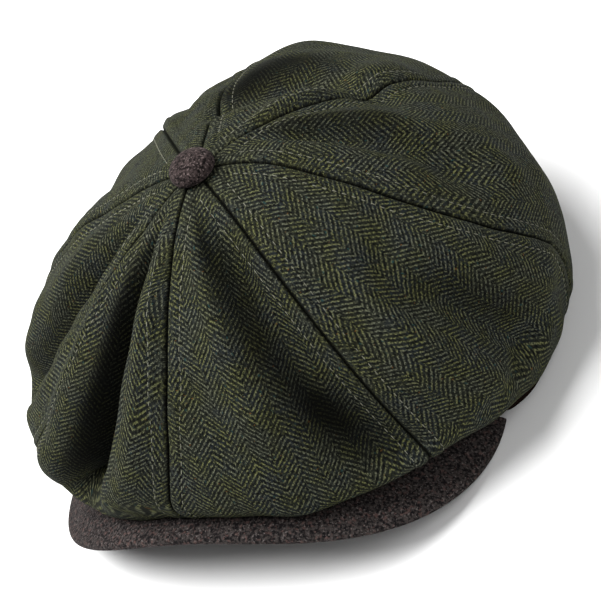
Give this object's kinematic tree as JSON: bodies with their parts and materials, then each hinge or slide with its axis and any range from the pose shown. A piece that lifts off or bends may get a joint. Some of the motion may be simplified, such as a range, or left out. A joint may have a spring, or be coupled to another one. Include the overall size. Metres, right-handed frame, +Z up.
{
  "type": "newsboy cap",
  "caption": "Soft newsboy cap of dark green herringbone wool with a panelled crown, a covered button, a head band and a stiff peak of brown heathered wool.",
  "frame": {"origin": "middle of the cap's outline, on the plane that it rests on", "axes": "+Z up, the front of the cap faces -Y, the wearer's left is +X"},
  "size_m": [0.2356, 0.2304, 0.1393],
  "materials": {
    "crown_wool": "dark green herringbone wool",
    "trim_wool": "brown and charcoal heathered wool",
    "band_cloth": "dark reddish brown cotton"
  },
  "bodies": {
    "root": {"crown_panel_1": "crown_wool", "crown_panel_2": "crown_wool", "crown_panel_3": "crown_wool", "crown_panel_4": "crown_wool", "crown_panel_5": "crown_wool", "crown_panel_6": "crown_wool", "crown_panel_7": "crown_wool", "crown_panel_8": "crown_wool", "band": "band_cloth", "peak": "trim_wool", "button": "trim_wool"}
  },
  "joints": []
}
